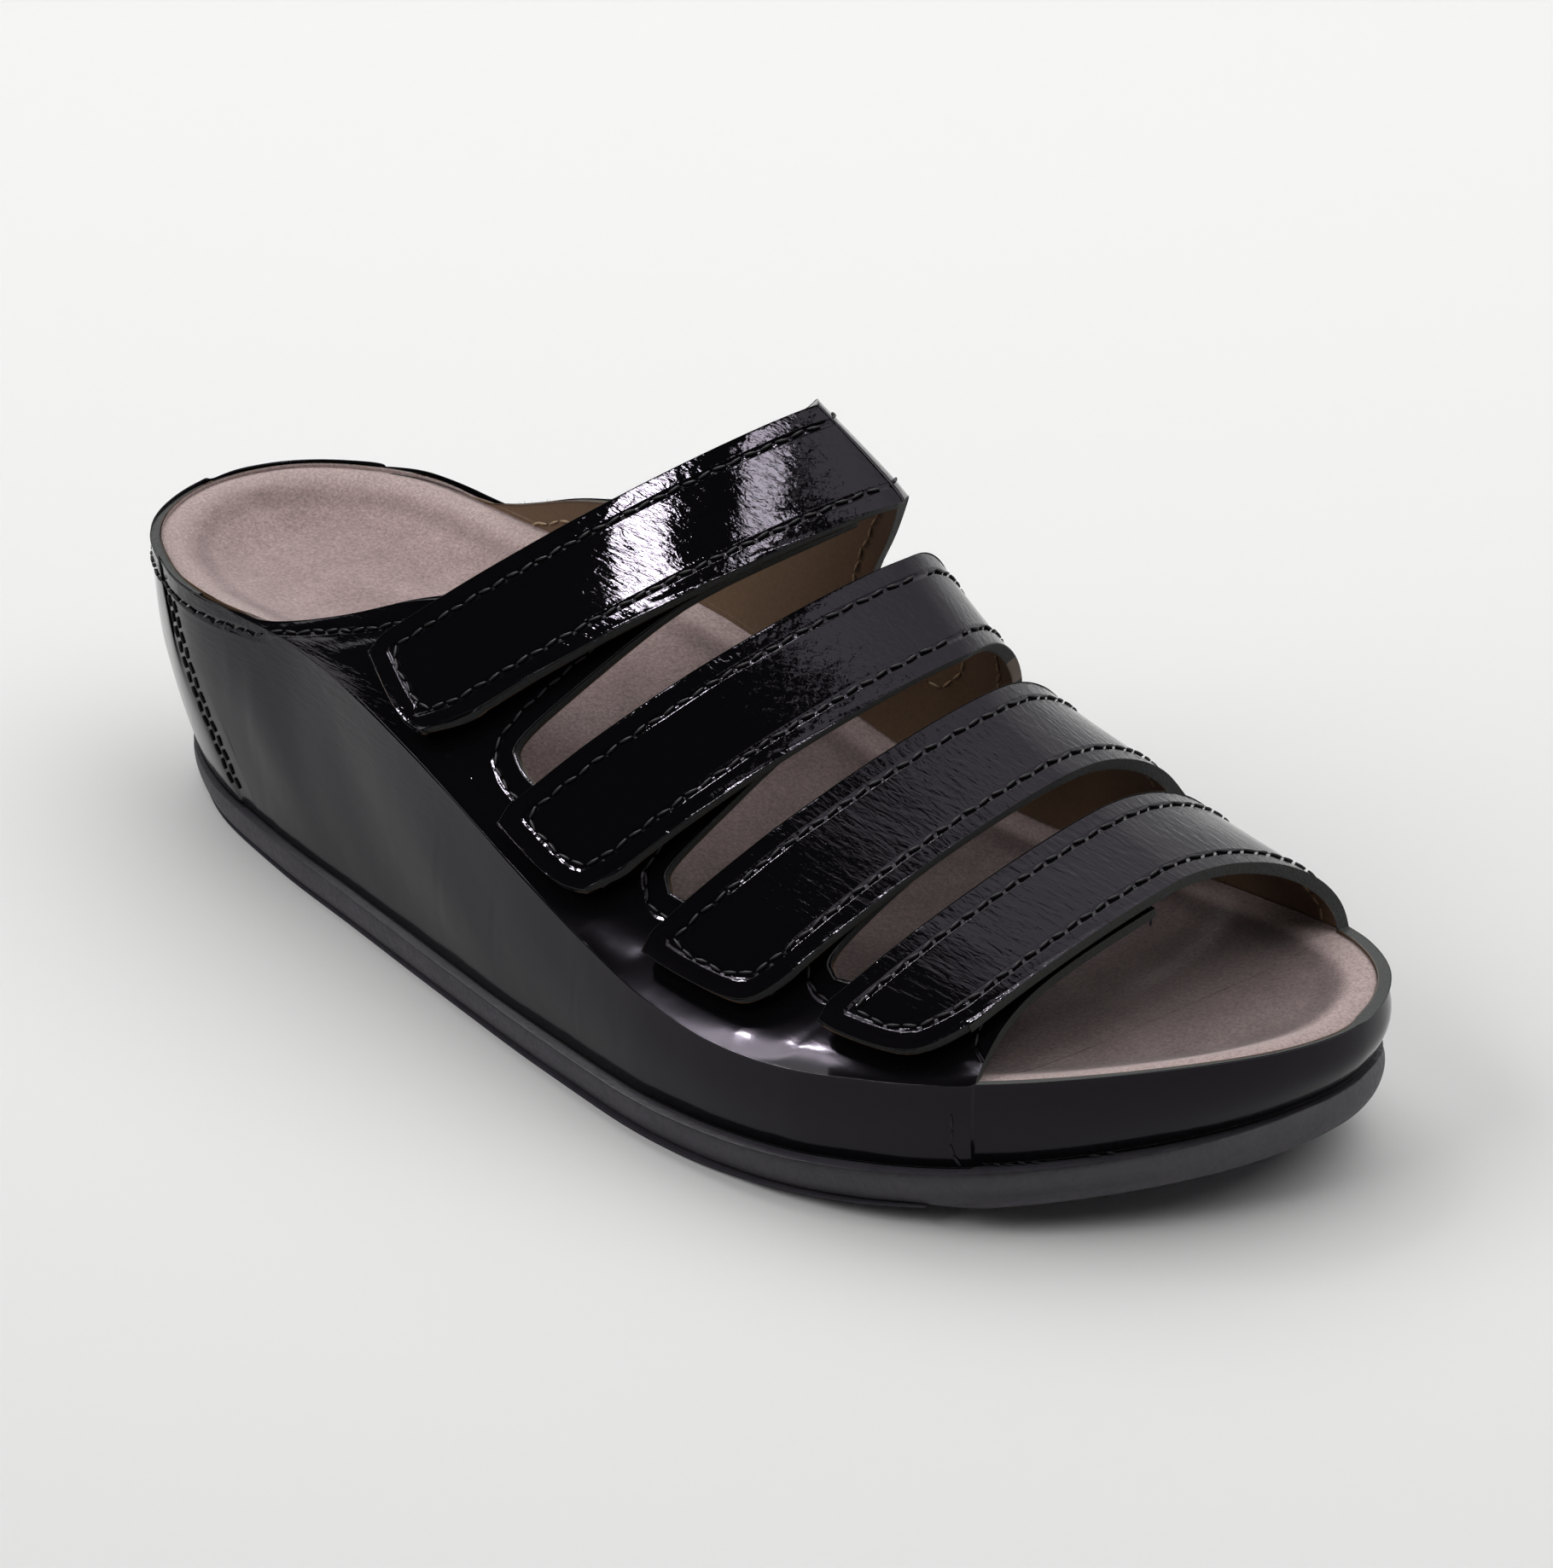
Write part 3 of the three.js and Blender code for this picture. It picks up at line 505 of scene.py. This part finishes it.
def crease(points, skin):
    """Pushes both skins of the leather in or out along the creases."""
    middle = np.clip(points[:, 0], FOOT_START, FOOT_END)
    core = np.stack([middle, np.zeros(len(points)), np.full(len(points), CORE_HEIGHT)], axis=1)
    outward = points - core
    outward /= np.linalg.norm(outward, axis=1, keepdims=True)
    moved = points.copy()
    for start, end, width, height in CREASES:
        start, end = (np.array(skin.find_nearest(Vector(p) * MM)[0]) for p in (start, end))
        run = end - start
        share = np.clip((points - start) @ run / (run @ run), 0, 1)
        distance = np.linalg.norm(points - start - share[:, None] * run, axis=1)
        # Both skins lie within the wall of the line, so the wall keeps its thickness
        distance = np.sqrt(np.maximum(distance ** 2 - (0.5 * WALL) ** 2, 0))
        push = height * MM * np.exp(-(distance / (width * MM)) ** 2)
        moved += outward * (push * np.sin(np.pi * (0.12 + 0.76 * share)))[:, None]
    return moved


mesh = upper.data
points = points_of(mesh)
patent_faces = layer_faces(mesh, PATENT)
points = crease(points, BVHTree.FromPolygons([Vector(p) for p in points], patent_faces))
set_points(mesh, points)
lining_faces = layer_faces(mesh, LINING)


def is_stitched(point):
    """Whether a cut edge has a row of stitches: not the fold, the toe strip or the seams."""
    fold = HEEL_FOLD if point.x < FOLD_CHANGE else TOE_FOLD
    on_heel_seam = point.x < HEEL_SEAM and point.z < HEEL_SEAM_TOP
    on_toe_seam = point.x > TOE_SEAM and point.z < TOE_SEAM_TOP
    return point.z > fold and not (on_heel_seam or on_toe_seam or is_toe_strip(point))


from_edge = distance_field(points, patent_faces, REACH, is_stitched)
from_lining_edge = distance_field(points, lining_faces, REACH, is_stitched)
low = np.clip((CORNER_TOP - points[:, 2]) / CORNER_HEIGHT, 0, 1)
from_edge += REACH * low * np.clip((points[:, 0] - CORNER_START) / CORNER_LENGTH, 0, 1)
write_field(mesh, "from_edge", from_edge / MM)

# Patent leather: a black film of polyurethane over leather, so a mirror gloss over fine creases
patent, tree = new_material("black_patent_leather")
place = add(tree, "ShaderNodeTexCoord")
along_straps = add(
    tree, "ShaderNodeMapping",
    {"Scale": (1 / WRINKLE_LENGTH, 1 / WRINKLE_WIDTH, 1 / WRINKLE_WIDTH)},
    {"Vector": place.outputs["Object"]},
)
wrinkles = add(
    tree, "ShaderNodeTexNoise", {"Scale": 1, "Detail": 3, "Roughness": 0.55, "Distortion": 0.4},
    {"Vector": along_straps.outputs[0]},
)
waves = add(
    tree, "ShaderNodeTexNoise", {"Scale": 1 / (9 * MM), "Detail": 2, "Roughness": 0.4},
    {"Vector": place.outputs["Object"]},
)
edge_read = add(tree, "ShaderNodeAttribute", attribute_name="from_edge")
crease_read = add(tree, "ShaderNodeAttribute", attribute_name="creased")
# A row of stitches pulls a groove into the leather, and puckers it across the seam
groove = add(
    tree, "ShaderNodeMath", {1: SEAM_PLACE / MM}, {0: edge_read.outputs["Fac"]},
    operation="SUBTRACT",
)
groove = add(tree, "ShaderNodeMath", {}, {0: groove.outputs[0]}, operation="ABSOLUTE")
groove = add(
    tree, "ShaderNodeMapRange", {"From Min": 0, "From Max": 0.9, "To Min": -1, "To Max": 0},
    {"Value": groove.outputs[0]}, interpolation_type="SMOOTHSTEP",
)
puckers = add(
    tree, "ShaderNodeTexNoise", {"Scale": 1 / (2.6 * MM), "Detail": 2, "Roughness": 0.45},
    {"Vector": place.outputs["Object"]},
)
pucker_mask = add(
    tree, "ShaderNodeMapRange", {"From Min": 5.2, "From Max": 3.2},
    {"Value": edge_read.outputs["Fac"]}, interpolation_type="SMOOTHSTEP",
)
pucker = add(
    tree, "ShaderNodeMath", {}, {0: puckers.outputs["Fac"], 1: pucker_mask.outputs[0]},
    operation="MULTIPLY",
)
wrinkle = add(
    tree, "ShaderNodeMath", {}, {0: wrinkles.outputs["Fac"], 1: crease_read.outputs["Fac"]},
    operation="MULTIPLY",
)
bump_waves = add(
    tree, "ShaderNodeBump", {"Strength": 1, "Distance": 0.12 * MM},
    {"Height": waves.outputs["Fac"]},
)
bump_wrinkles = add(
    tree, "ShaderNodeBump", {"Strength": 1, "Distance": 0.09 * MM},
    {"Height": wrinkle.outputs[0], "Normal": bump_waves.outputs[0]},
)
bump_puckers = add(
    tree, "ShaderNodeBump", {"Strength": 1, "Distance": 0.13 * MM},
    {"Height": pucker.outputs[0], "Normal": bump_wrinkles.outputs[0]},
)
bump_groove = add(
    tree, "ShaderNodeBump", {"Strength": 1, "Distance": 0.25 * MM},
    {"Height": groove.outputs[0], "Normal": bump_puckers.outputs[0]},
)
# The film is pulled tight and bright over the straps, and wears duller down the wall
film = add(
    tree, "ShaderNodeMapRange", {"From Min": 0.1, "From Max": 0.5, "To Min": 0.16, "To Max": 0.04},
    {"Value": crease_read.outputs["Fac"]},
)
shader = add(
    tree, "ShaderNodeBsdfPrincipled",
    {
        "Base Color": linear("09080a"), "IOR": 1.45,
        "Specular Tint": linear("ddcfe8"), "Specular IOR Level": 0.25,
        "Coat Weight": 0.2, "Coat IOR": 1.36, "Coat Roughness": 0.03,
    },
    {
        "Normal": bump_groove.outputs[0], "Coat Normal": bump_groove.outputs[0],
        "Roughness": film.outputs[0],
    },
)
add(tree, "ShaderNodeOutputMaterial", links={"Surface": shader.outputs[0]})

# Lining: vegetable-tanned leather, rolled smooth: warm brown with a low sheen
lining, tree = new_material("brown_lining_leather")
place = add(tree, "ShaderNodeTexCoord")
pores = add(
    tree, "ShaderNodeTexNoise", {"Scale": 1 / (0.8 * MM), "Detail": 3, "Roughness": 0.6},
    {"Vector": place.outputs["Object"]},
)
tint = add(
    tree, "ShaderNodeMix", {6: linear("5f4a38"), 7: linear("755d48")},
    {0: pores.outputs["Fac"]}, data_type="RGBA",
)
pore_bump = add(
    tree, "ShaderNodeBump", {"Strength": 0.4, "Distance": 0.1 * MM},
    {"Height": pores.outputs["Fac"]},
)
shader = add(
    tree, "ShaderNodeBsdfPrincipled", {"Roughness": 0.5, "IOR": 1.45},
    {"Base Color": tint.outputs[2], "Normal": pore_bump.outputs[0]},
)
add(tree, "ShaderNodeOutputMaterial", links={"Surface": shader.outputs[0]})

# Raw cut edge: dyed fibre, matt grey-green, grainy where the knife went through
raw_edge, tree = new_material("raw_cut_leather")
place = add(tree, "ShaderNodeTexCoord")
fibre = add(
    tree, "ShaderNodeTexNoise", {"Scale": 1 / (0.5 * MM), "Detail": 3, "Roughness": 0.7},
    {"Vector": place.outputs["Object"]},
)
tint = add(
    tree, "ShaderNodeMix", {6: linear("151716"), 7: linear("3c403d")},
    {0: fibre.outputs["Fac"]}, data_type="RGBA",
)
fibre_bump = add(
    tree, "ShaderNodeBump", {"Strength": 0.8, "Distance": 0.3 * MM},
    {"Height": fibre.outputs["Fac"]},
)
shader = add(
    tree, "ShaderNodeBsdfPrincipled", {"Roughness": 0.8},
    {"Base Color": tint.outputs[2], "Normal": fibre_bump.outputs[0]},
)
add(tree, "ShaderNodeOutputMaterial", links={"Surface": shader.outputs[0]})

for layer, material in ((PATENT, patent), (LINING, lining), (RAW_EDGE, raw_edge)):
    upper.data.materials[layer] = material
# How much the leather is creased by wear: most over the straps, hardly on the wall
creased = np.clip((points[:, 2] - STRAPS_FROM) / STRAPS_RISE, 0.06, 1)
creased *= 1 + 1.1 * np.clip((points[:, 0] - TOE_CREASED_FROM) / TOE_CREASED_RISE, 0, 1)
write_field(mesh, "creased", creased)
fit_out(upper, "upper", "upper")


# Stitching: waxed black nylon thread in a lockstitch, one row inside the raw edges, one down
# the toe seam and two down each heel seam. It comes through the lining as cream thread.
STITCH_LENGTH, STITCH_GAP, THREAD = 2.5 * MM, 0.4 * MM, 0.55 * MM
SHORTEST_ROW = 9 * MM
# A stitch is left out where the leather turns by more than the angle of this cosine
FOLD_LIMIT = 0.93
# Hand-guided rows: each stitch lies a little aside of the line and turned to it
WANDER, SLANT = 0.07 * MM, 0.16
# The ends of the heel seam and of the toe seam as x and z in mm, and half the space between
# the heel seam's two rows
HEEL_ROW_TOP, HEEL_ROW_BOTTOM, HEEL_ROW_SHIFT = (-106.5, 46), (-91.5, 10), 1.3
TOE_ROW_TOP, TOE_ROW_BOTTOM = (90.4, 23), (90.4, 10)
# The rows along the edges stop short of the folded corner over the toe strip
ROW_END, ROW_END_HEIGHT = 70 * MM, 28 * MM

# Waxed nylon, twisted: nearly matt, so a stitch shows by its shadow more than by its shine
thread_black, tree = new_material("black_nylon_thread")
shader = add(
    tree, "ShaderNodeBsdfPrincipled",
    {"Base Color": linear("1a171c"), "Roughness": 0.6, "Specular IOR Level": 0.3},
)
add(tree, "ShaderNodeOutputMaterial", links={"Surface": shader.outputs[0]})
thread_cream, tree = new_material("cream_nylon_thread")
shader = add(
    tree, "ShaderNodeBsdfPrincipled", {"Base Color": linear("9b8467"), "Roughness": 0.6}
)
add(tree, "ShaderNodeOutputMaterial", links={"Surface": shader.outputs[0]})

bpy.ops.object.select_all(action="DESELECT")
bpy.ops.mesh.primitive_uv_sphere_add(segments=6, ring_count=4, radius=1)
pattern = bpy.context.object
stitch_points = points_of(pattern.data)
stitch_faces = [tuple(f.vertices) for f in pattern.data.polygons]
bpy.data.objects.remove(pattern)


def even_steps(chain, step):
    """Points at equal steps along a chain."""
    chain = np.array(chain)
    for _ in range(3):
        chain[1:-1] = (chain[:-2] + 2 * chain[1:-1] + chain[2:]) / 4
    run = np.concatenate([[0], np.cumsum(np.linalg.norm(np.diff(chain, axis=0), axis=1))])
    places = np.arange(0, run[-1], step)
    return np.stack([np.interp(places, run, chain[:, axis]) for axis in range(3)], axis=1)


def sew(name, chains, surface, material):
    """Stitches along the chains, laid on the surface, as one piece."""
    all_points, all_faces = [], []
    # A stitch is a long bead with blunt ends
    bead = np.sign(stitch_points) * np.abs(stitch_points) ** np.array([0.5, 1, 1])
    for chain in chains:
        run = np.linalg.norm(np.diff(chain, axis=0), axis=1).sum()
        if run < SHORTEST_ROW:
            continue
        spots = even_steps(chain, STITCH_LENGTH + STITCH_GAP)
        for number, (start, end) in enumerate(zip(spots[:-1], spots[1:])):
            middle, normal, _, _ = surface.find_nearest(Vector((start + end) / 2))
            turned = [surface.find_nearest(Vector(spot))[1] for spot in (start, end)]
            if turned[0].dot(turned[1]) < FOLD_LIMIT:
                continue
            along = Vector(end - start).normalized()
            along = (along - normal * along.dot(normal)).normalized()
            side = normal.cross(along)
            middle = middle + normal * 0.3 * THREAD + side * WANDER * math.sin(2.3 * number)
            along = (along + side * SLANT * (-1) ** number).normalized()
            side = normal.cross(along)
            half_sizes = np.array([
                along * STITCH_LENGTH / 2, side * THREAD / 2, normal * THREAD / 2,
            ])
            base = len(all_points) * len(stitch_points)
            all_points.append(bead @ half_sizes + np.array(middle))
            all_faces.extend(tuple(base + v for v in face) for face in stitch_faces)
    mesh = bpy.data.meshes.new(name)
    mesh.from_pydata(np.concatenate(all_points).tolist(), [], all_faces)
    mesh.materials.append(material)
    piece = bpy.data.objects.new(name, mesh)
    bpy.context.collection.objects.link(piece)
    bpy.ops.object.select_all(action="DESELECT")
    piece.select_set(True)
    bpy.context.view_layer.objects.active = piece
    bpy.ops.object.mode_set(mode="EDIT")
    bpy.ops.mesh.select_all(action="SELECT")
    bpy.ops.mesh.normals_make_consistent(inside=False)
    bpy.ops.object.mode_set(mode="OBJECT")
    bpy.ops.object.shade_smooth()
    return piece


def wall_row(top, bottom, side):
    """A row down the wall from its top to its bottom, each given as x and z, on one side."""
    row = []
    for share in np.linspace(0, 1, 30):
        x, z = (t * (1 - share) + b * share for t, b in zip(top, bottom))
        start = Vector((x * MM, side * BEYOND, z * MM))
        hit, _, _, _ = outer_skin.ray_cast(start, Vector((0, -side, 0)))
        if hit is not None:
            row.append(np.array(hit))
    return np.array(row)


outer_skin = BVHTree.FromPolygons([Vector(p) for p in points], patent_faces)
inner_skin = BVHTree.FromPolygons([Vector(p) for p in points], lining_faces)
rows = contours(points, patent_faces, from_edge, SEAM_PLACE)
rows = [row[(row[:, 0] < ROW_END) | (row[:, 2] > ROW_END_HEIGHT)] for row in rows]
for side in (-1, 1):
    for shift in (-HEEL_ROW_SHIFT, HEEL_ROW_SHIFT):
        top, bottom = ((x + shift, z) for x, z in (HEEL_ROW_TOP, HEEL_ROW_BOTTOM))
        rows.append(wall_row(top, bottom, side))
rows.append(wall_row(TOE_ROW_TOP, TOE_ROW_BOTTOM, -1))
stitches = sew("seam_stitches", rows, outer_skin, thread_black)
fit_out(stitches, "upper")
cream_rows = contours(points, lining_faces, from_lining_edge, SEAM_PLACE)
lining_stitches = sew("lining_stitches", cream_rows, inner_skin, thread_cream)
fit_out(lining_stitches, "upper")


# Hook and loop tapes: woven black nylon, sewn to the tabs and under the straps. The loops
# stand up as a dull fuzz that shows along the straps' front edges.
TAPE_ROUNDING = 0.12 * MM
FIBRES_PER_TAPE, FIBRE_LENGTH, FIBRE_WIDTH = 1500, 1.3 * MM, 0.07 * MM
FRAYED_FIBRES, FRAYED_LENGTH = 700, 0.8 * MM
FRAYED_END, FRAYED_FROM_HEIGHT = -35 * MM, 35 * MM

# Nylon loops, brushed: a matt fuzz that swallows the light
loop_pile, tree = new_material("black_loop_pile")
place = add(tree, "ShaderNodeTexCoord")
fuzz = add(
    tree, "ShaderNodeTexNoise", {"Scale": 1 / (0.6 * MM), "Detail": 4, "Roughness": 0.75},
    {"Vector": place.outputs["Object"]},
)
tint = add(
    tree, "ShaderNodeMix", {6: linear("08080a"), 7: linear("1f1e24")},
    {0: fuzz.outputs["Fac"]}, data_type="RGBA",
)
fuzz_bump = add(
    tree, "ShaderNodeBump", {"Strength": 1, "Distance": 0.6 * MM},
    {"Height": fuzz.outputs["Fac"]},
)
shader = add(
    tree, "ShaderNodeBsdfPrincipled", {"Roughness": 0.95, "Sheen Weight": 0.3},
    {"Base Color": tint.outputs[2], "Normal": fuzz_bump.outputs[0]},
)
add(tree, "ShaderNodeOutputMaterial", links={"Surface": shader.outputs[0]})

chance = np.random.default_rng(7)
fibre_points, fibre_faces = [], []


def grow_fibres(mesh, faces, count, longest):
    """Bent fibres that stand out of some faces, each a thin three-sided spike."""
    areas = np.array([f.area for f in faces])
    for index in chance.choice(len(faces), count, p=areas / areas.sum()):
        corners = [mesh.vertices[v].co for v in faces[index].vertices]
        shares = chance.dirichlet(np.ones(len(corners)))
        root = sum((c * w for c, w in zip(corners, shares)), Vector((0, 0, 0)))
        lean = Vector(chance.normal(0, 0.55, 3))
        way = (faces[index].normal + lean).normalized()
        side = way.orthogonal().normalized()
        length = longest * chance.uniform(0.4, 1)
        base = len(fibre_points)
        for turn in (0, 120, 240):
            foot = Matrix.Rotation(math.radians(turn), 3, way) @ side * FIBRE_WIDTH / 2
            fibre_points.append(root - way * 0.1 * MM + foot)
        fibre_points.append(root + way * length + lean * 0.25 * length)
        for a, b in ((0, 1), (1, 2), (2, 0)):
            fibre_faces.append((base + a, base + b, base + 3))
        fibre_faces.append((base + 2, base + 1, base))


for number in (1, 2, 3, 4):
    for kind in ("loop_pad", "hook_pad"):
        node = f"{kind}_{number}"
        tape = merged_copy(node, node.replace("pad", "tape"))
        soften(tape, TAPE_ROUNDING, 1, 2)
        tape.data.materials.append(loop_pile)
        fit_out(tape, "tape", node)
        sides = [f for f in tape.data.polygons if abs(f.normal.z) < 0.75]
        grow_fibres(tape.data, sides, FIBRES_PER_TAPE, FIBRE_LENGTH)
# The leather's own fibre frays a little along the rim round the heel
frayed = [
    f for f in upper.data.polygons
    if f.material_index == RAW_EDGE
    and f.center.x < FRAYED_END and f.center.z > FRAYED_FROM_HEIGHT
]
grow_fibres(upper.data, frayed, FRAYED_FIBRES, FRAYED_LENGTH)
mesh = bpy.data.meshes.new("pile_fibres")
mesh.from_pydata(fibre_points, [], fibre_faces)
mesh.materials.append(loop_pile)
fibres = bpy.data.objects.new("pile_fibres", mesh)
bpy.context.collection.objects.link(fibres)
fit_out(fibres, "tape")


# Stage: a pale sheet of paper under soft boxes in a dark room, seen from above the toe.
CAMERA_PLACE = Vector((0.53884, -0.54303, 0.46643))
CAMERA_AIM = Vector((-0.00155, 0.02135, 0.025))
CAMERA_ROLL, CAMERA_LENS, CAMERA_FILM = math.radians(-1.19), 115.74, 36
PAPER_SIZE, PAPER_PLACE = 4, (-0.9, 0.9, 0)

lens = bpy.data.cameras.new("camera")
lens.lens = CAMERA_LENS
lens.sensor_fit = "VERTICAL"
lens.sensor_height = CAMERA_FILM
lens.clip_start = 0.01
camera = bpy.data.objects.new("camera", lens)
bpy.context.collection.objects.link(camera)
camera.location = CAMERA_PLACE
look = (CAMERA_AIM - CAMERA_PLACE).to_track_quat("-Z", "Y").to_matrix()
camera.rotation_euler = (look @ Matrix.Rotation(CAMERA_ROLL, 3, "Z")).to_euler()
bpy.context.scene.camera = camera

# Uncoated paper: white and matt
paper, tree = new_material("white_paper")
shader = add(
    tree, "ShaderNodeBsdfPrincipled", {"Base Color": linear("e9e9e8"), "Roughness": 0.9}
)
add(tree, "ShaderNodeOutputMaterial", links={"Surface": shader.outputs[0]})
bpy.ops.object.select_all(action="DESELECT")
bpy.ops.mesh.primitive_plane_add(size=PAPER_SIZE, location=PAPER_PLACE)
floor = bpy.context.object
floor.name = "floor"
floor.data.materials.append(paper)

room = bpy.data.worlds.new("room")
bpy.context.scene.world = room
room.use_nodes = True
room.node_tree.nodes["Background"].inputs["Color"].default_value = linear("2b2b2e")
room.node_tree.nodes["Background"].inputs["Strength"].default_value = 1


def soft_box(name, place, aim, width, height, power):
    """An area light of the given size that looks at a point."""
    light = bpy.data.lights.new(name, "AREA")
    light.shape = "RECTANGLE"
    light.size = width
    light.size_y = height
    light.energy = power
    box = bpy.data.objects.new(name, light)
    bpy.context.collection.objects.link(box)
    box.location = place
    box.rotation_euler = (Vector(aim) - Vector(place)).to_track_quat("-Z", "Y").to_euler()
    return box


# A wide pale ceiling behind the shoe and a fill from the front light the set. The others only
# show as reflections: the ceiling's corner, two boxes over the first strap, one behind the heel
# and two pale walls.
soft_box("ceiling", (-0.15, 0.6, 1), (-0.15, 0.6, 0), 2.7, 1.4, 19.5)
front_fill = soft_box("front_fill", (-0.9, -1.1, 1.2), (-0.1, 0, 0), 1.8, 1, 20)
front_fill.visible_glossy = False
corner = soft_box("ceiling_corner", (0.675, -0.35, 1), (0.675, -0.35, 0), 1.05, 0.5, 3.4)
corner.visible_diffuse = False
for name, place, aim, width, height, power in (
    ("left_box", (-0.033, -0.046, 0.15), (-0.033, -0.046, 0), 0.021, 0.014, 0.09),
    ("front_box", (0.006, -0.02, 0.15), (0.006, -0.02, 0), 0.013, 0.016, 0.015),
    ("long_box", (-0.47, 0.08, 1), (-0.47, 0.08, 0), 0.06, 0.42, 17),
    ("back_wall", (0, 1.3, 0.5), (0, 0, 0.5), 2.4, 1, 9),
    ("right_wall", (1.2, 0.35, 0.5), (0, 0.35, 0.5), 1.9, 1, 6),
):
    box = soft_box(name, place, aim, width, height, power)
    box.visible_diffuse = False
bpy.context.scene.view_settings.view_transform = "Standard"
